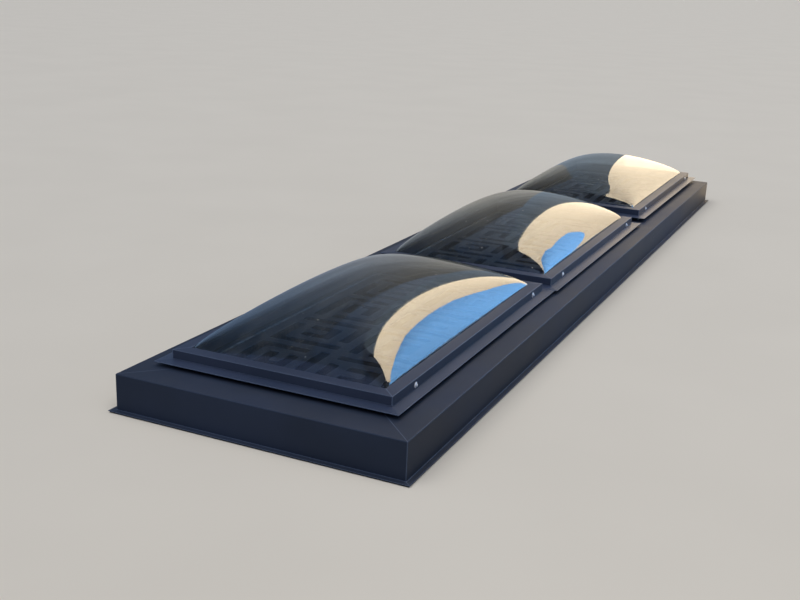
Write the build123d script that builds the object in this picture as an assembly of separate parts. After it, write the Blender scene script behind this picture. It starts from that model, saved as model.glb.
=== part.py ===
from build123d import *
from math import sqrt, sin, pi
import os

os.makedirs("parts", exist_ok=True)

# Roof skylight: three blown domes in a row on one long kerb, clad in folded sheet.
# Millimetres. X runs across the kerb, Y along it, Z up.
# The origin is at the middle of the kerb's length and width, on the surface that it stands on.

# Clear size inside one dome unit's clamp frame
UNIT_CLEAR_WIDTH = 828.0
UNIT_CLEAR_LENGTH = 1560.0

# Places of the units along and across the kerb, as fitted
NEAR_MARGIN = 139.0
FAR_MARGIN = 18.0
SIDE_MARGIN = 86.0
UNIT_GAPS = (5.0, 108.0)
UNIT_SHIFTS = (-14.0, -2.0, -6.0)
UNIT_RAISES = (0.0, 0.0, 8.0)

# Clamp frame over the dome's rim, and the flange that it leaves showing
CLAMP_WIDTH = 51.0
CLAMP_WALL = 3.0
CLAMP_FALL = 3.0
CLAMP_HEIGHT = 36.0
CLAMP_CORNER = 1.6
FLANGE_REVEAL = 49.0
CLAMP_CLEARANCE = 0.5

# Base frame under the dome: a hollow rail with a sloping drip flange
FLANGE_THICKNESS = 2.5
FLANGE_FALL = 4.0
FLANGE_LIFT = 20.0
BASE_WALL = 3.0

# Rubber seals
KERB_SEAL_THICKNESS = 8.0
DOME_SEAL_THICKNESS = 2.5
DOME_SEAL_SETBACK = 8.0
DOME_SEAL_NOSE = 2.0
FOOT_SEAL_THICKNESS = 6.0
FOOT_SEAL_SETBACK = 4.0

# Blown domes: each comes out of the blowing frame at its own height
DOME_THICKNESS = 4.0
DOME_RISES = (194.0, 222.0, 191.0)
# Just over 1 for walls that spring up steeply, larger for a flatter curve
DOME_FULLNESS = 1.01
DOME_RIM_SETBACK = 5.0
DOME_STEP_ACROSS = 34.5
DOME_STEP_ALONG = 48.75
DOME_SURFACE_TOLERANCE = 0.02

# Kerb: a welded frame of box tube inside a folded cover
RAIL_HEIGHT = 150.0
RAIL_WIDTH = 50.0
RAIL_WALL = 3.0
RAIL_CORNER = 6.0
OPENING_INSET = 14.0
OPENING_SHIFT = -7.0
SHEET = 2.0
BEND_RADIUS = 4.0
FOOT_WIDTH = 22.0
FOOT_BEND = 1.5
SEAM_SETBACK = 14.0
SEAM_GAP = 1.5
STRAP_WIDTH = 60.0
STRAP_CLEARANCE = 0.3

# Slotted screen in each kerb opening, on a ledge of angle
SCREEN_DROP = 8.0
SCREEN_THICKNESS = 4.0
SCREEN_EDGE_GAP = 2.0
SLOT_PITCH = 92.0
SLOT_WIDTH = 48.0
SLOT_CORNER = 9.0
SLOT_EDGE = 24.0
LEDGE_LEG = 30.0
LEDGE_WALL = 3.0

# Screws
CLAMP_SCREW_RADIUS = 3.0
CLAMP_SCREW_LENGTH = 18.0
CLAMP_SCREW_HEIGHT = 13.0
CLAMP_SCREW_NEAR_INSET = 196.0
CLAMP_SCREW_FAR_INSET = 138.0
CLAMP_HEAD_FLATS = 10.0
CLAMP_HEAD_HEIGHT = 4.5
WASHER_RADIUS = 12.0
WASHER_THICKNESS = 2.0
WASHER_BEVEL = 1.0
SCREEN_SCREW_RADIUS = 3.0
SCREEN_SCREW_LENGTH = 10.0
SCREEN_HEAD_RADIUS = 6.0
SCREEN_HEAD_HEIGHT = 3.2
SCREEN_HEAD_ROUND = 1.9
SCREEN_SCREW_EDGE = 14.0
HOLE_CLEARANCE = 0.25
THREAD_CLEARANCE = 0.05

# Anchor brackets, which fix the kerb to the surface below
BRACKET_LEG = 60.0
BRACKET_WALL = 5.0
BRACKET_WIDTH = 70.0
BRACKET_END_INSET = 425.0
BRACKET_JOINT_INSET = 30.0
ANCHOR_HOLE_RADIUS = 5.5
ANCHOR_HOLE_OUT = 35.0
RAIL_BOLT_RADIUS = 4.0
RAIL_BOLT_SPACING = 40.0
RAIL_BOLT_HEIGHT = 38.0
RAIL_BOLT_HEAD_RADIUS = 7.0
RAIL_BOLT_HEAD_HEIGHT = 5.0
RAIL_BOLT_LENGTH = 20.0

# How far a cutting shape runs past what it cuts
PAST = 5.0

# Sizes that follow from those above
UNIT_BORDER = FLANGE_REVEAL + CLAMP_WIDTH
UNIT_WIDTH = UNIT_CLEAR_WIDTH + 2 * UNIT_BORDER
UNIT_LENGTH = UNIT_CLEAR_LENGTH + 2 * UNIT_BORDER
KERB_WIDTH = UNIT_WIDTH + 2 * SIDE_MARGIN
UNIT_COUNT = len(UNIT_SHIFTS)
KERB_LENGTH = NEAR_MARGIN + UNIT_COUNT * UNIT_LENGTH + sum(UNIT_GAPS) + FAR_MARGIN
KERB_TOP = RAIL_HEIGHT + SHEET
FOOT_TOP = FOOT_SEAL_THICKNESS + SHEET
OPENING_WIDTH = UNIT_CLEAR_WIDTH - 2 * OPENING_INSET
OPENING_LENGTH = UNIT_CLEAR_LENGTH - 2 * OPENING_INSET
OPENING_LEFT = OPENING_SHIFT - OPENING_WIDTH / 2
OPENING_RIGHT = OPENING_SHIFT + OPENING_WIDTH / 2

# Heights in a unit, above its own datum: the kerb's top plus the unit's raise
WEB_INSET = FLANGE_REVEAL + CLAMP_WALL + CLAMP_CLEARANCE
FLANGE_ROOT = FLANGE_LIFT + FLANGE_FALL
CLAMP_FOOT = FLANGE_ROOT + CLAMP_CLEARANCE
CLAMP_EDGE = CLAMP_FOOT + CLAMP_HEIGHT
RIM_TOP = CLAMP_EDGE - CLAMP_WALL - DOME_SEAL_THICKNESS
RIM_FOOT = RIM_TOP - DOME_THICKNESS
SEAT = RIM_FOOT - DOME_SEAL_THICKNESS

SCREEN_TOP = RAIL_HEIGHT - SCREEN_DROP
SCREEN_FOOT = SCREEN_TOP - SCREEN_THICKNESS


def unit_start(index):
    """Y of the near edge of a unit's flange."""
    return -KERB_LENGTH / 2 + NEAR_MARGIN + index * UNIT_LENGTH + sum(UNIT_GAPS[:index])


def unit_middle(index):
    """Y of the middle of a unit, and of the kerb opening below it."""
    return unit_start(index) + UNIT_LENGTH / 2


SEAM_Y = unit_start(UNIT_COUNT - 1) - UNIT_GAPS[-1] - SEAM_SETBACK
UNITS = range(UNIT_COUNT)
SIDES = ("left", "right", "near", "far")


def slab(x_low, x_high, y_low, y_high, z_low, z_high):
    """A box given by its limits."""
    middle = ((x_low + x_high) / 2, (y_low + y_high) / 2, (z_low + z_high) / 2)
    return Pos(*middle) * Box(x_high - x_low, y_high - y_low, z_high - z_low)


def centred_slab(width, length, z_low, z_high):
    """A box centred on the Z axis."""
    return slab(-width / 2, width / 2, -length / 2, length / 2, z_low, z_high)


def prism(points, z_low, z_high):
    """An upright prism on a polygon in plan."""
    outline = make_face(Polyline(*points, close=True))
    return Pos(0, 0, z_low) * extrude(outline, amount=z_high - z_low, dir=(0, 0, 1))


def frame_bar(side, section, radii, half_width, half_length):
    """One mitred bar of a rectangular frame.

    section lists (s, z) points, with s measured inwards from the frame's outer edge.
    """
    depth = max(s for s, z in section)
    along_y = side in ("left", "right")
    reach, run = (half_width, half_length) if along_y else (half_length, half_width)
    corners = [(s - reach, 0, z) for s, z in section]
    face = make_face(FilletPolyline(*corners, radius=radii, close=True))
    body = Pos(0, -run, 0) * extrude(face, amount=2 * run, dir=(0, 1, 0))
    z_low = min(z for s, z in section) - PAST
    z_high = max(z for s, z in section) + PAST
    plan = [(-reach, -run), (depth - reach, depth - run), (depth - reach, run - depth), (-reach, run)]
    turn = {"left": 0, "far": -90, "right": 180, "near": 90}[side]
    return Rot(0, 0, turn) * (body & prism(plan, z_low, z_high))


def frame_ring(section, half_width, half_length):
    """A whole mitred frame, welded at its corners."""
    radii = [0] * len(section)
    bars = [frame_bar(side, section, radii, half_width, half_length) for side in SIDES]
    return bars[0].fuse(*bars[1:]).clean()


def flat_ring(outer_inset, inner_inset, z_low, z_high):
    """A flat seal that follows a unit's frame, between two insets from its outer edge."""
    outer = centred_slab(UNIT_WIDTH - 2 * outer_inset, UNIT_LENGTH - 2 * outer_inset, z_low, z_high)
    inner = centred_slab(UNIT_WIDTH - 2 * inner_inset, UNIT_LENGTH - 2 * inner_inset,
                         z_low - PAST, z_high + PAST)
    return outer - inner


def unit_place(index):
    """The place of a unit's datum on the kerb."""
    return Pos(UNIT_SHIFTS[index], unit_middle(index), KERB_TOP + UNIT_RAISES[index])


def opening_place(index):
    """The place of a kerb opening's middle."""
    return Pos(OPENING_SHIFT, unit_middle(index), 0)


# The dome and its frames

def clamp_screw_stations():
    """Mirror sign across and Y of each screw through a unit's clamp frame."""
    clamp_end = UNIT_LENGTH / 2 - FLANGE_REVEAL
    near = CLAMP_SCREW_NEAR_INSET - clamp_end
    far = clamp_end - CLAMP_SCREW_FAR_INSET
    return [(sign, y) for sign in (-1, 1) for y in (near, far)]


def clamp_screw_axis(sign, y):
    """A placement on the clamp frame's outer face, with its Z axis pointing outwards."""
    x = sign * (UNIT_WIDTH / 2 - FLANGE_REVEAL)
    return Pos(x, y, CLAMP_FOOT + CLAMP_SCREW_HEIGHT) * Rot(0, sign * 90, 0)


def clamp_screw_holes(radius, depth):
    """Cutters for the clamp screws' holes."""
    drill = Pos(0, 0, PAST / 2 - depth / 2) * Cylinder(radius, depth + PAST)
    return [clamp_screw_axis(sign, y) * drill for sign, y in clamp_screw_stations()]


def base_frame():
    """Inverted channel that carries the dome, with its drip flange standing out past the clamp."""
    foot = KERB_SEAL_THICKNESS
    section = [
        (0, FLANGE_LIFT - FLANGE_THICKNESS),
        (0, FLANGE_LIFT),
        (WEB_INSET, FLANGE_ROOT),
        (WEB_INSET, SEAT),
        (UNIT_BORDER, SEAT),
        (UNIT_BORDER, foot),
        (UNIT_BORDER - BASE_WALL, foot),
        (UNIT_BORDER - BASE_WALL, SEAT - BASE_WALL),
        (WEB_INSET + BASE_WALL, SEAT - BASE_WALL),
        (WEB_INSET + BASE_WALL, foot),
        (WEB_INSET, foot),
        (WEB_INSET, FLANGE_ROOT - FLANGE_THICKNESS),
    ]
    ring = frame_ring(section, UNIT_WIDTH / 2, UNIT_LENGTH / 2)
    return ring - clamp_screw_holes(CLAMP_SCREW_RADIUS, CLAMP_SCREW_LENGTH)


def kerb_seal(index):
    """Rubber strip between the kerb and the base frame, thicker where the unit is packed up."""
    return flat_ring(WEB_INSET, UNIT_BORDER, -UNIT_RAISES[index], KERB_SEAL_THICKNESS)


def dome_seal(foot):
    """Rubber strip under or over the dome's rim."""
    return flat_ring(WEB_INSET + DOME_SEAL_SETBACK, UNIT_BORDER - DOME_SEAL_NOSE,
                     foot, foot + DOME_SEAL_THICKNESS)


def arc_height(t):
    """Height of a round arc over a line from -1 to 1, scaled to 1 in the middle and 0 at its ends."""
    end = sqrt(DOME_FULLNESS - 1)
    return (sqrt(DOME_FULLNESS - t * t) - end) / (sqrt(DOME_FULLNESS) - end)


def grid(count):
    """Values from -1 to 1 that crowd towards both ends, where the dome turns fastest."""
    return [sin(pi / 2 * (2 * i / count - 1)) for i in range(count + 1)]


def plan_outline(half_width, half_length, z):
    """A level rectangle centred on the Z axis."""
    corners = [(-half_width, -half_length, z), (half_width, -half_length, z),
               (half_width, half_length, z), (-half_width, half_length, z)]
    return Wire.make_polygon(corners, close=True)


def blown_height(u, v):
    """Height over a square from -1 to 1, scaled to 1 in the middle, with corners as full as the walls."""
    across = arc_height(u)
    along = arc_height(v)
    if across * along == 0:
        return 0
    return across * along / (across + along - across * along)


def blown_skin(half_width, half_length, edge, rise):
    """A blown surface that springs from a level rectangle at the edge height."""
    rows = [
        [(half_width * u, half_length * v, edge + rise * blown_height(u, v))
         for v in grid(round(UNIT_CLEAR_LENGTH / DOME_STEP_ALONG))]
        for u in grid(round(UNIT_CLEAR_WIDTH / DOME_STEP_ACROSS))
    ]
    return Face.make_surface_from_array_of_points(rows, tol=DOME_SURFACE_TOLERANCE)


def dome(rise):
    """Blown acrylic dome with its flat rim, sewn from its faces."""
    rim_inset = WEB_INSET + DOME_RIM_SETBACK
    outer = (UNIT_WIDTH / 2 - rim_inset, UNIT_LENGTH / 2 - rim_inset)
    root = (UNIT_CLEAR_WIDTH / 2, UNIT_CLEAR_LENGTH / 2)
    inner = (root[0] - DOME_THICKNESS, root[1] - DOME_THICKNESS)
    foot = plan_outline(*outer, RIM_FOOT)
    faces = [
        blown_skin(*root, RIM_TOP, rise),
        blown_skin(*inner, RIM_FOOT, rise),
        Face(plan_outline(*outer, RIM_TOP), [plan_outline(*root, RIM_TOP)]),
        Face(foot, [plan_outline(*inner, RIM_FOOT)]),
    ]
    faces += [Face.extrude(edge, Vector(0, 0, DOME_THICKNESS)) for edge in foot.edges()]
    return Solid(Shell(faces))


def clamp_bar(side):
    """One mitred bar of the clamp frame, an angle whose top falls outwards."""
    section = [
        (FLANGE_REVEAL, CLAMP_FOOT),
        (FLANGE_REVEAL, CLAMP_EDGE),
        (UNIT_BORDER, CLAMP_EDGE + CLAMP_FALL),
        (UNIT_BORDER, CLAMP_EDGE - CLAMP_WALL),
        (FLANGE_REVEAL + CLAMP_WALL, CLAMP_EDGE - CLAMP_WALL),
        (FLANGE_REVEAL + CLAMP_WALL, CLAMP_FOOT),
    ]
    radii = [0, CLAMP_CORNER, CLAMP_CORNER, 0, 0, 0]
    bar = frame_bar(side, section, radii, UNIT_WIDTH / 2, UNIT_LENGTH / 2)
    if side in ("left", "right"):
        bar -= clamp_screw_holes(CLAMP_SCREW_RADIUS + HOLE_CLEARANCE, CLAMP_WALL + PAST)
    return bar


def clamp_washer():
    """Broad washer, slightly dished towards its rim."""
    disc = Pos(0, 0, WASHER_THICKNESS / 2) * Cylinder(WASHER_RADIUS, WASHER_THICKNESS)
    disc = chamfer(disc.edges().filter_by(GeomType.CIRCLE).group_by(Axis.Z)[-1],
                   WASHER_BEVEL, 2 * WASHER_BEVEL)
    return disc - Cylinder(CLAMP_SCREW_RADIUS + HOLE_CLEARANCE, WASHER_THICKNESS + 2 * PAST)


def clamp_screw():
    """Hexagon-headed screw that stands on its washer."""
    seat = WASHER_THICKNESS
    head = extrude(RegularPolygon(CLAMP_HEAD_FLATS / 2, 6, major_radius=False), amount=CLAMP_HEAD_HEIGHT)
    shank_foot = seat - CLAMP_SCREW_LENGTH
    shank = Pos(0, 0, (seat + shank_foot) / 2) * Cylinder(CLAMP_SCREW_RADIUS - THREAD_CLEARANCE,
                                                            CLAMP_SCREW_LENGTH)
    return Pos(0, 0, seat) * head + shank


def at_clamp_screws(piece):
    """Copies of a piece at every clamp screw of every unit."""
    return [unit_place(index) * clamp_screw_axis(sign, y) * piece
            for index in UNITS for sign, y in clamp_screw_stations()]


# The slotted screens

SLOT_TILE = 4
SLOT_PATHS = (
    ((0, 0), (0, 3), (2, 3)),
    ((1, 0), (3, 0), (3, 3)),
    ((1, 2), (1, 1), (2, 1), (2, 2)),
)


def turned(node, turns):
    """A node of a square slot tile after quarter turns."""
    i, j = node
    for _ in range(turns % SLOT_TILE):
        i, j = SLOT_TILE - 1 - j, i
    return i, j


def slot_face(path):
    """A slot of even width along a path of grid nodes, with rounded corners."""
    half = SLOT_WIDTH / 2
    runs = []
    for (x0, y0), (x1, y1) in zip(path, path[1:]):
        width = abs(x1 - x0) + 2 * half
        length = abs(y1 - y0) + 2 * half
        runs.append(Pos((x0 + x1) / 2, (y0 + y1) / 2) * Rectangle(width, length))
    outline = Sketch() + runs
    return fillet(outline.vertices(), SLOT_CORNER)


def tile_count(size):
    """How many slot tiles fit between a screen's edges."""
    return int((size - 2 * SLOT_EDGE) // (SLOT_TILE * SLOT_PITCH))


def slot_faces():
    """Every slot of one screen: a labyrinth of tiles, each turned a quarter from its neighbour."""
    tiles_across = tile_count(OPENING_WIDTH)
    tiles_along = tile_count(OPENING_LENGTH)
    nodes_across = SLOT_TILE * tiles_across - 1
    nodes_along = SLOT_TILE * tiles_along - 1
    faces = []
    for across in range(tiles_across):
        for along in range(tiles_along):
            for path in SLOT_PATHS:
                nodes = [turned(node, across + along) for node in path]
                faces.append(slot_face([
                    ((i + SLOT_TILE * across - nodes_across / 2) * SLOT_PITCH,
                     (j + SLOT_TILE * along - nodes_along / 2) * SLOT_PITCH)
                    for i, j in nodes
                ]))
    return faces


def screen_screw_stations():
    """X and Y of each screw in a screen, about the opening's middle."""
    x = OPENING_WIDTH / 2 - SCREEN_SCREW_EDGE
    y = OPENING_LENGTH / 2 - SCREEN_SCREW_EDGE
    return [(-x, -y), (0, -y), (x, -y), (-x, 0), (x, 0), (-x, y), (0, y), (x, y)]


def screen_holes(z_low, z_high):
    """Cutters for the screws' holes in the screen and its ledge."""
    drill = Cylinder(SCREEN_SCREW_RADIUS + HOLE_CLEARANCE, z_high - z_low)
    return [Pos(x, y, (z_low + z_high) / 2) * drill for x, y in screen_screw_stations()]


def screen_plate():
    """Laser-cut plate with its labyrinth of slots."""
    width = OPENING_WIDTH - 2 * SCREEN_EDGE_GAP
    length = OPENING_LENGTH - 2 * SCREEN_EDGE_GAP
    blank = Rectangle(width, length) - slot_faces()
    plate = Pos(0, 0, SCREEN_FOOT) * extrude(blank, amount=SCREEN_THICKNESS)
    return plate - screen_holes(SCREEN_FOOT - PAST, SCREEN_TOP + PAST)


def screen_ledge():
    """Ring of angle that carries the screen, welded to the rails."""
    section = [
        (0, SCREEN_FOOT - LEDGE_LEG),
        (0, SCREEN_FOOT),
        (LEDGE_LEG, SCREEN_FOOT),
        (LEDGE_LEG, SCREEN_FOOT - LEDGE_WALL),
        (LEDGE_WALL, SCREEN_FOOT - LEDGE_WALL),
        (LEDGE_WALL, SCREEN_FOOT - LEDGE_LEG),
    ]
    ring = frame_ring(section, OPENING_WIDTH / 2, OPENING_LENGTH / 2)
    return ring - screen_holes(SCREEN_FOOT - LEDGE_LEG, SCREEN_FOOT + PAST)


def screen_screw():
    """Low domed screw."""
    head = Pos(0, 0, SCREEN_HEAD_HEIGHT / 2) * Cylinder(SCREEN_HEAD_RADIUS, SCREEN_HEAD_HEIGHT)
    head = fillet(head.edges().group_by(Axis.Z)[-1], SCREEN_HEAD_ROUND)
    shank = Pos(0, 0, -SCREEN_SCREW_LENGTH / 2) * Cylinder(SCREEN_SCREW_RADIUS, SCREEN_SCREW_LENGTH)
    return head + shank


# The kerb

def whole_cover():
    """The kerb's folded cover as one skin: flat top with openings, skirts and an outward foot."""
    outer = centred_slab(KERB_WIDTH, KERB_LENGTH, FOOT_SEAL_THICKNESS, KERB_TOP)
    outer = fillet(outer.edges().filter_by(Axis.Z) + outer.edges().group_by(Axis.Z)[-1], BEND_RADIUS)
    hollow = centred_slab(KERB_WIDTH - 2 * SHEET, KERB_LENGTH - 2 * SHEET, 0, RAIL_HEIGHT)
    hollow = fillet(hollow.edges().filter_by(Axis.Z) + hollow.edges().group_by(Axis.Z)[-1],
                    BEND_RADIUS - SHEET)
    foot = centred_slab(KERB_WIDTH + 2 * FOOT_WIDTH, KERB_LENGTH + 2 * FOOT_WIDTH,
                        FOOT_SEAL_THICKNESS, FOOT_TOP)
    skin = outer + foot
    root = [edge for edge in skin.edges() if edge.length > OPENING_WIDTH
            and abs(edge.center().Z - FOOT_TOP) < SHEET / 4
            and abs(edge.center().X) < KERB_WIDTH / 2 + SHEET
            and abs(edge.center().Y) < KERB_LENGTH / 2 + SHEET]
    skin = fillet(ShapeList(root), FOOT_BEND) - hollow
    for index in UNITS:
        skin -= opening_place(index) * centred_slab(OPENING_WIDTH, OPENING_LENGTH,
                                                    RAIL_HEIGHT - PAST, KERB_TOP + PAST)
    return skin


def opening_limits(index):
    """Y of the near and far edges of a kerb opening."""
    middle = unit_middle(index)
    return middle - OPENING_LENGTH / 2, middle + OPENING_LENGTH / 2


def cover_strips():
    """The cover's folded strips, mitred at the kerb's corners and butted between the openings."""
    cover = whole_cover()
    half_width = KERB_WIDTH / 2
    half_length = KERB_LENGTH / 2
    out = FOOT_WIDTH + PAST
    first_edge = opening_limits(0)[0]
    last_edge = opening_limits(UNIT_COUNT - 1)[1]
    near_depth = first_edge + half_length
    far_depth = half_length - last_edge
    z_limits = (-PAST, KERB_TOP + PAST)

    def side_outline(sign, inner_x):
        """Plan of one long side, from mitre to mitre."""
        side_depth = half_width - abs(inner_x)
        near_mitre = min(side_depth, near_depth)
        far_mitre = min(side_depth, far_depth)
        return [
            (sign * (half_width + out), -half_length - out),
            (sign * (half_width - near_mitre), -half_length + near_mitre),
            (inner_x, first_edge),
            (inner_x, last_edge),
            (sign * (half_width - far_mitre), half_length - far_mitre),
            (sign * (half_width + out), half_length + out),
        ]

    left = side_outline(-1, OPENING_LEFT)
    right = side_outline(1, OPENING_RIGHT)
    near_end = [left[0], left[1], left[2], right[2], right[1], right[0]]
    far_end = [left[5], left[4], left[3], right[3], right[4], right[5]]
    reach = half_width + out
    before_seam = slab(-reach, reach, -half_length - out, SEAM_Y - SEAM_GAP / 2, *z_limits)
    after_seam = slab(-reach, reach, SEAM_Y + SEAM_GAP / 2, half_length + out, *z_limits)
    strips = {
        "cover_near_end": cover & prism(near_end, *z_limits),
        "cover_far_end": cover & prism(far_end, *z_limits),
    }
    for name, outline in (("left", left), ("right", right)):
        side = cover & prism(outline, *z_limits)
        strips[f"cover_{name}_near"] = side & before_seam
        strips[f"cover_{name}_far"] = side & after_seam
    for index in range(UNIT_COUNT - 1):
        bridge = slab(OPENING_LEFT, OPENING_RIGHT, opening_limits(index)[1],
                      opening_limits(index + 1)[0], *z_limits)
        strips[f"cover_bridge_{index + 1}"] = cover & bridge
    return strips


def joint_straps():
    """Angle strap behind each butt joint in the cover's long sides."""
    inset = SHEET + STRAP_CLEARANCE
    top = RAIL_HEIGHT - STRAP_CLEARANCE
    straps = []
    for sign, edge in ((-1, OPENING_LEFT), (1, OPENING_RIGHT)):
        x_out = sign * (KERB_WIDTH / 2 - inset)
        x_in = edge + sign * (RAIL_WIDTH + STRAP_CLEARANCE)
        limits = sorted((x_in, x_out))
        flat = slab(*limits, SEAM_Y - STRAP_WIDTH / 2, SEAM_Y + STRAP_WIDTH / 2, top - SHEET, top)
        skirt_limits = sorted((x_out, x_out - sign * SHEET))
        skirt = slab(*skirt_limits, SEAM_Y - STRAP_WIDTH / 2, SEAM_Y + STRAP_WIDTH / 2, FOOT_TOP, top)
        bend = (flat + skirt).edges().filter_by(Axis.Y).sort_by_distance((x_out, SEAM_Y, top))[0]
        straps.append(fillet(bend, BEND_RADIUS - SHEET))
    return straps


def box_tube(length):
    """Box tube along Y, standing on its narrow side, from the origin up."""
    outer = RectangleRounded(RAIL_WIDTH, RAIL_HEIGHT, RAIL_CORNER)
    inner = RectangleRounded(RAIL_WIDTH - 2 * RAIL_WALL, RAIL_HEIGHT - 2 * RAIL_WALL,
                             RAIL_CORNER - RAIL_WALL)
    tube = extrude(outer - inner, amount=length)
    return Pos(0, length / 2, RAIL_HEIGHT / 2) * Rot(90, 0, 0) * tube


def rails():
    """Two long rails, and a cross rail at each end of each opening."""
    first_edge = opening_limits(0)[0] - RAIL_WIDTH
    last_edge = opening_limits(UNIT_COUNT - 1)[1] + RAIL_WIDTH
    middle = (first_edge + last_edge) / 2
    long_rail = box_tube(last_edge - first_edge)
    pieces = {
        "rail_left": Pos(OPENING_LEFT - RAIL_WIDTH / 2, middle, 0) * long_rail,
        "rail_right": Pos(OPENING_RIGHT + RAIL_WIDTH / 2, middle, 0) * long_rail,
    }
    cross_rail = Rot(0, 0, 90) * box_tube(OPENING_WIDTH)
    for index in UNITS:
        near_edge, far_edge = opening_limits(index)
        name = f"cross_rail_{index + 1}"
        pieces[name + "_near"] = Pos(OPENING_SHIFT, near_edge - RAIL_WIDTH / 2, 0) * cross_rail
        pieces[name + "_far"] = Pos(OPENING_SHIFT, far_edge + RAIL_WIDTH / 2, 0) * cross_rail
    for place in bracket_places():
        for name in ("rail_left", "rail_right"):
            pieces[name] -= [place * hole for hole in rail_bolt_holes(0)]
    return pieces


def foot_seals():
    """Rubber strips under the cover's foot."""
    outer_x = KERB_WIDTH / 2 + FOOT_WIDTH - FOOT_SEAL_SETBACK
    outer_y = KERB_LENGTH / 2 + FOOT_WIDTH - FOOT_SEAL_SETBACK
    inner_x = KERB_WIDTH / 2 - SHEET
    inner_y = KERB_LENGTH / 2 - SHEET
    z_limits = (0, FOOT_SEAL_THICKNESS)
    return {
        "foot_seal_left": slab(-outer_x, -inner_x, -outer_y, outer_y, *z_limits),
        "foot_seal_right": slab(inner_x, outer_x, -outer_y, outer_y, *z_limits),
        "foot_seal_near": slab(-inner_x, inner_x, -outer_y, -inner_y, *z_limits),
        "foot_seal_far": slab(-inner_x, inner_x, inner_y, outer_y, *z_limits),
    }


# The anchor brackets, drawn on a rail's outer face at X = 0 with the bracket towards +X

def bracket_places():
    """A placement on a rail's outer face for each bracket."""
    places = []
    for y in (UNIT_LENGTH / 2 - BRACKET_JOINT_INSET, KERB_LENGTH / 2 - BRACKET_END_INSET):
        for along in (-y, y):
            places.append(Pos(OPENING_RIGHT + RAIL_WIDTH, along, 0))
            places.append(Pos(OPENING_LEFT - RAIL_WIDTH, along, 0) * Rot(0, 0, 180))
    return places


def rail_bolt_holes(clearance):
    """Cutters for one bracket's bolts into the rail."""
    drill = Rot(0, 90, 0) * Cylinder(RAIL_BOLT_RADIUS + clearance, 2 * (RAIL_WALL + BRACKET_WALL))
    return [Pos(0, sign * RAIL_BOLT_SPACING / 2, RAIL_BOLT_HEIGHT) * drill for sign in (-1, 1)]


def bracket():
    """Angle bracket with an anchor hole in its foot."""
    half = BRACKET_WIDTH / 2
    upright = slab(0, BRACKET_WALL, -half, half, 0, BRACKET_LEG)
    foot = slab(0, BRACKET_LEG, -half, half, 0, BRACKET_WALL)
    anchor = Pos(ANCHOR_HOLE_OUT, 0, BRACKET_WALL / 2) * Cylinder(ANCHOR_HOLE_RADIUS, 2 * BRACKET_WALL)
    return upright + foot - anchor - rail_bolt_holes(HOLE_CLEARANCE)


def rail_bolt():
    """Screw that holds a bracket to the rail, along +X from the bracket's face."""
    head = Pos(RAIL_BOLT_HEAD_HEIGHT / 2, 0, 0) * Rot(0, 90, 0) * Cylinder(
        RAIL_BOLT_HEAD_RADIUS, RAIL_BOLT_HEAD_HEIGHT)
    shank_radius = RAIL_BOLT_RADIUS - THREAD_CLEARANCE
    shank = Pos(-RAIL_BOLT_LENGTH / 2, 0, 0) * Rot(0, 90, 0) * Cylinder(shank_radius, RAIL_BOLT_LENGTH)
    return head + shank


def rail_bolts():
    """Both bolts of every bracket."""
    seats = [Pos(BRACKET_WALL, sign * RAIL_BOLT_SPACING / 2, RAIL_BOLT_HEIGHT) for sign in (-1, 1)]
    return [place * seat * rail_bolt() for place in bracket_places() for seat in seats]


def write(name, *pieces):
    """One STEP file for each node."""
    solids = [solid for piece in pieces for solid in piece.solids()]
    shape = solids[0] if len(solids) == 1 else Compound(children=solids)
    shape.label = name
    export_step(shape, f"parts/{name}.step")


def main():
    for name, piece in {**cover_strips(), **rails(), **foot_seals()}.items():
        write(name, piece)
    write("joint_straps", *joint_straps())
    write("anchor_brackets", *[place * bracket() for place in bracket_places()])
    write("rail_bolts", *rail_bolts())
    unit_pieces = {
        "base_frame": base_frame(),
        "dome_seal_lower": dome_seal(SEAT),
        "dome_seal_upper": dome_seal(RIM_TOP),
        **{f"clamp_bar_{side}": clamp_bar(side) for side in SIDES},
    }
    opening_pieces = {"screen": screen_plate(), "screen_ledge": screen_ledge()}
    for index in UNITS:
        write(f"kerb_seal_{index + 1}", unit_place(index) * kerb_seal(index))
        write(f"dome_{index + 1}", unit_place(index) * dome(DOME_RISES[index]))
        for name, piece in unit_pieces.items():
            write(f"{name}_{index + 1}", unit_place(index) * piece)
        for name, piece in opening_pieces.items():
            write(f"{name}_{index + 1}", opening_place(index) * piece)
    write("clamp_screws", *at_clamp_screws(clamp_screw()))
    write("clamp_washers", *at_clamp_screws(clamp_washer()))
    screw = screen_screw()
    write("screen_screws", *[opening_place(index) * Pos(x, y, SCREEN_TOP) * screw
                             for index in UNITS for x, y in screen_screw_stations()])


main()
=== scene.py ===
"""Looks of the roof skylight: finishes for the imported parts, blown domes, fasteners and a soft studio."""
import logging
import math
from dataclasses import dataclass, field
from enum import Enum

import bmesh
import bpy
from mathutils import Matrix, Vector


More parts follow.
